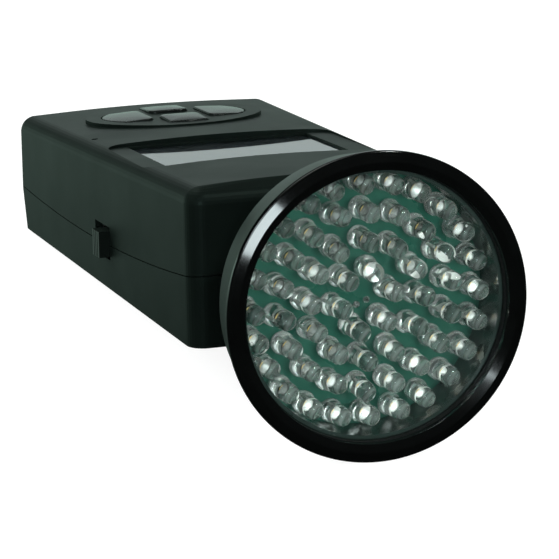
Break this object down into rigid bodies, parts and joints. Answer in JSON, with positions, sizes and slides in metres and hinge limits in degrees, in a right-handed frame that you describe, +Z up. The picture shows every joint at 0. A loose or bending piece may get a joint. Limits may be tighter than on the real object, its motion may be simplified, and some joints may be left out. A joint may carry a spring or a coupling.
{
  "type": "stroboscope",
  "caption": "Hand-held stroboscope with a round lamp head behind a clear window, a tapered body, a sunken display, press keys, a slide switch and a battery door.",
  "frame": {"origin": "middle of the bounding box, at the height of the lamp ring's lowest point", "axes": "-Y the way the lamps shine, +Z up out of the keypad's side, +X to the side without the slide switch"},
  "size_m": [0.082, 0.2144, 0.082],
  "materials": {
    "shell": "fine moulded texture, satin black",
    "bell": "smooth satin black",
    "gloss_ring": "polished black",
    "clear_window": "clear polished plastic",
    "seal": "matt black",
    "sleeve": "dark grey-green, semi-gloss",
    "lamp_board": "green solder mask",
    "lamp_lens": "water-clear epoxy",
    "solder": "bright tin",
    "display_cover": "clear polished plastic",
    "display_face": "pale grey liquid crystal",
    "carrier": "pale moulded plastic",
    "keypad": "fine moulded texture, satin black",
    "key": "smooth satin black",
    "contact_box": "black",
    "circuit_board": "green solder mask",
    "status_lens": "dark tinted lens",
    "knob": "dark grey",
    "switch_case": "grey",
    "tray": "black",
    "cell": "printed metal jacket",
    "contact_metal": "nickel plate",
    "screw_steel": "zinc plate",
    "bush_brass": "turned"
  },
  "bodies": {
    "housing": {"upper_shell": "shell", "lower_shell": "shell", "head_housing": "bell", "bezel_ring": "gloss_ring", "front_window": "clear_window", "window_seal": "seal", "spacer_sleeve": "sleeve", "lamp_board": "lamp_board", "lamps": "lamp_lens", "lead_joints": "solder", "display_window": "display_cover", "display_panel": "display_face", "display_carrier": "carrier", "keypad_island": "keypad", "key_contacts": "contact_box", "main_board": "circuit_board", "status_light": "status_lens", "switch_body": "switch_case", "battery_tray": "tray", "cells": "cell", "cell_contacts": "contact_metal", "shell_screws": "screw_steel", "tripod_bush": "bush_brass"},
    "key_up": {"key_up": "key"},
    "key_down": {"key_down": "key"},
    "key_left": {"key_left": "key"},
    "key_right": {"key_right": "key"},
    "switch_knob": {"switch_knob": "knob"},
    "battery_door": {"battery_door": "shell"}
  },
  "joints": [
    {"name": "key_up_press", "type": "slide", "parent": "housing", "child": "key_up", "axis": [0, -0.0392, -0.9992], "range_m": [0, 0.0008], "stiffness_N_per_m": 1500},
    {"name": "key_down_press", "type": "slide", "parent": "housing", "child": "key_down", "axis": [0, -0.0392, -0.9992], "range_m": [0, 0.0008], "stiffness_N_per_m": 1500},
    {"name": "key_left_press", "type": "slide", "parent": "housing", "child": "key_left", "axis": [0, -0.0392, -0.9992], "range_m": [0, 0.0008], "stiffness_N_per_m": 1500},
    {"name": "key_right_press", "type": "slide", "parent": "housing", "child": "key_right", "axis": [0, -0.0392, -0.9992], "range_m": [0, 0.0008], "stiffness_N_per_m": 1500},
    {"name": "switch_slide", "type": "slide", "parent": "housing", "child": "switch_knob", "axis": [-0.0325, 0.9995, 0], "range_m": [0, 0.007]},
    {"name": "battery_door_slide", "type": "slide", "parent": "housing", "child": "battery_door", "axis": [0, 0.9998, 0.0209], "range_m": [0, 0.06]}
  ]
}
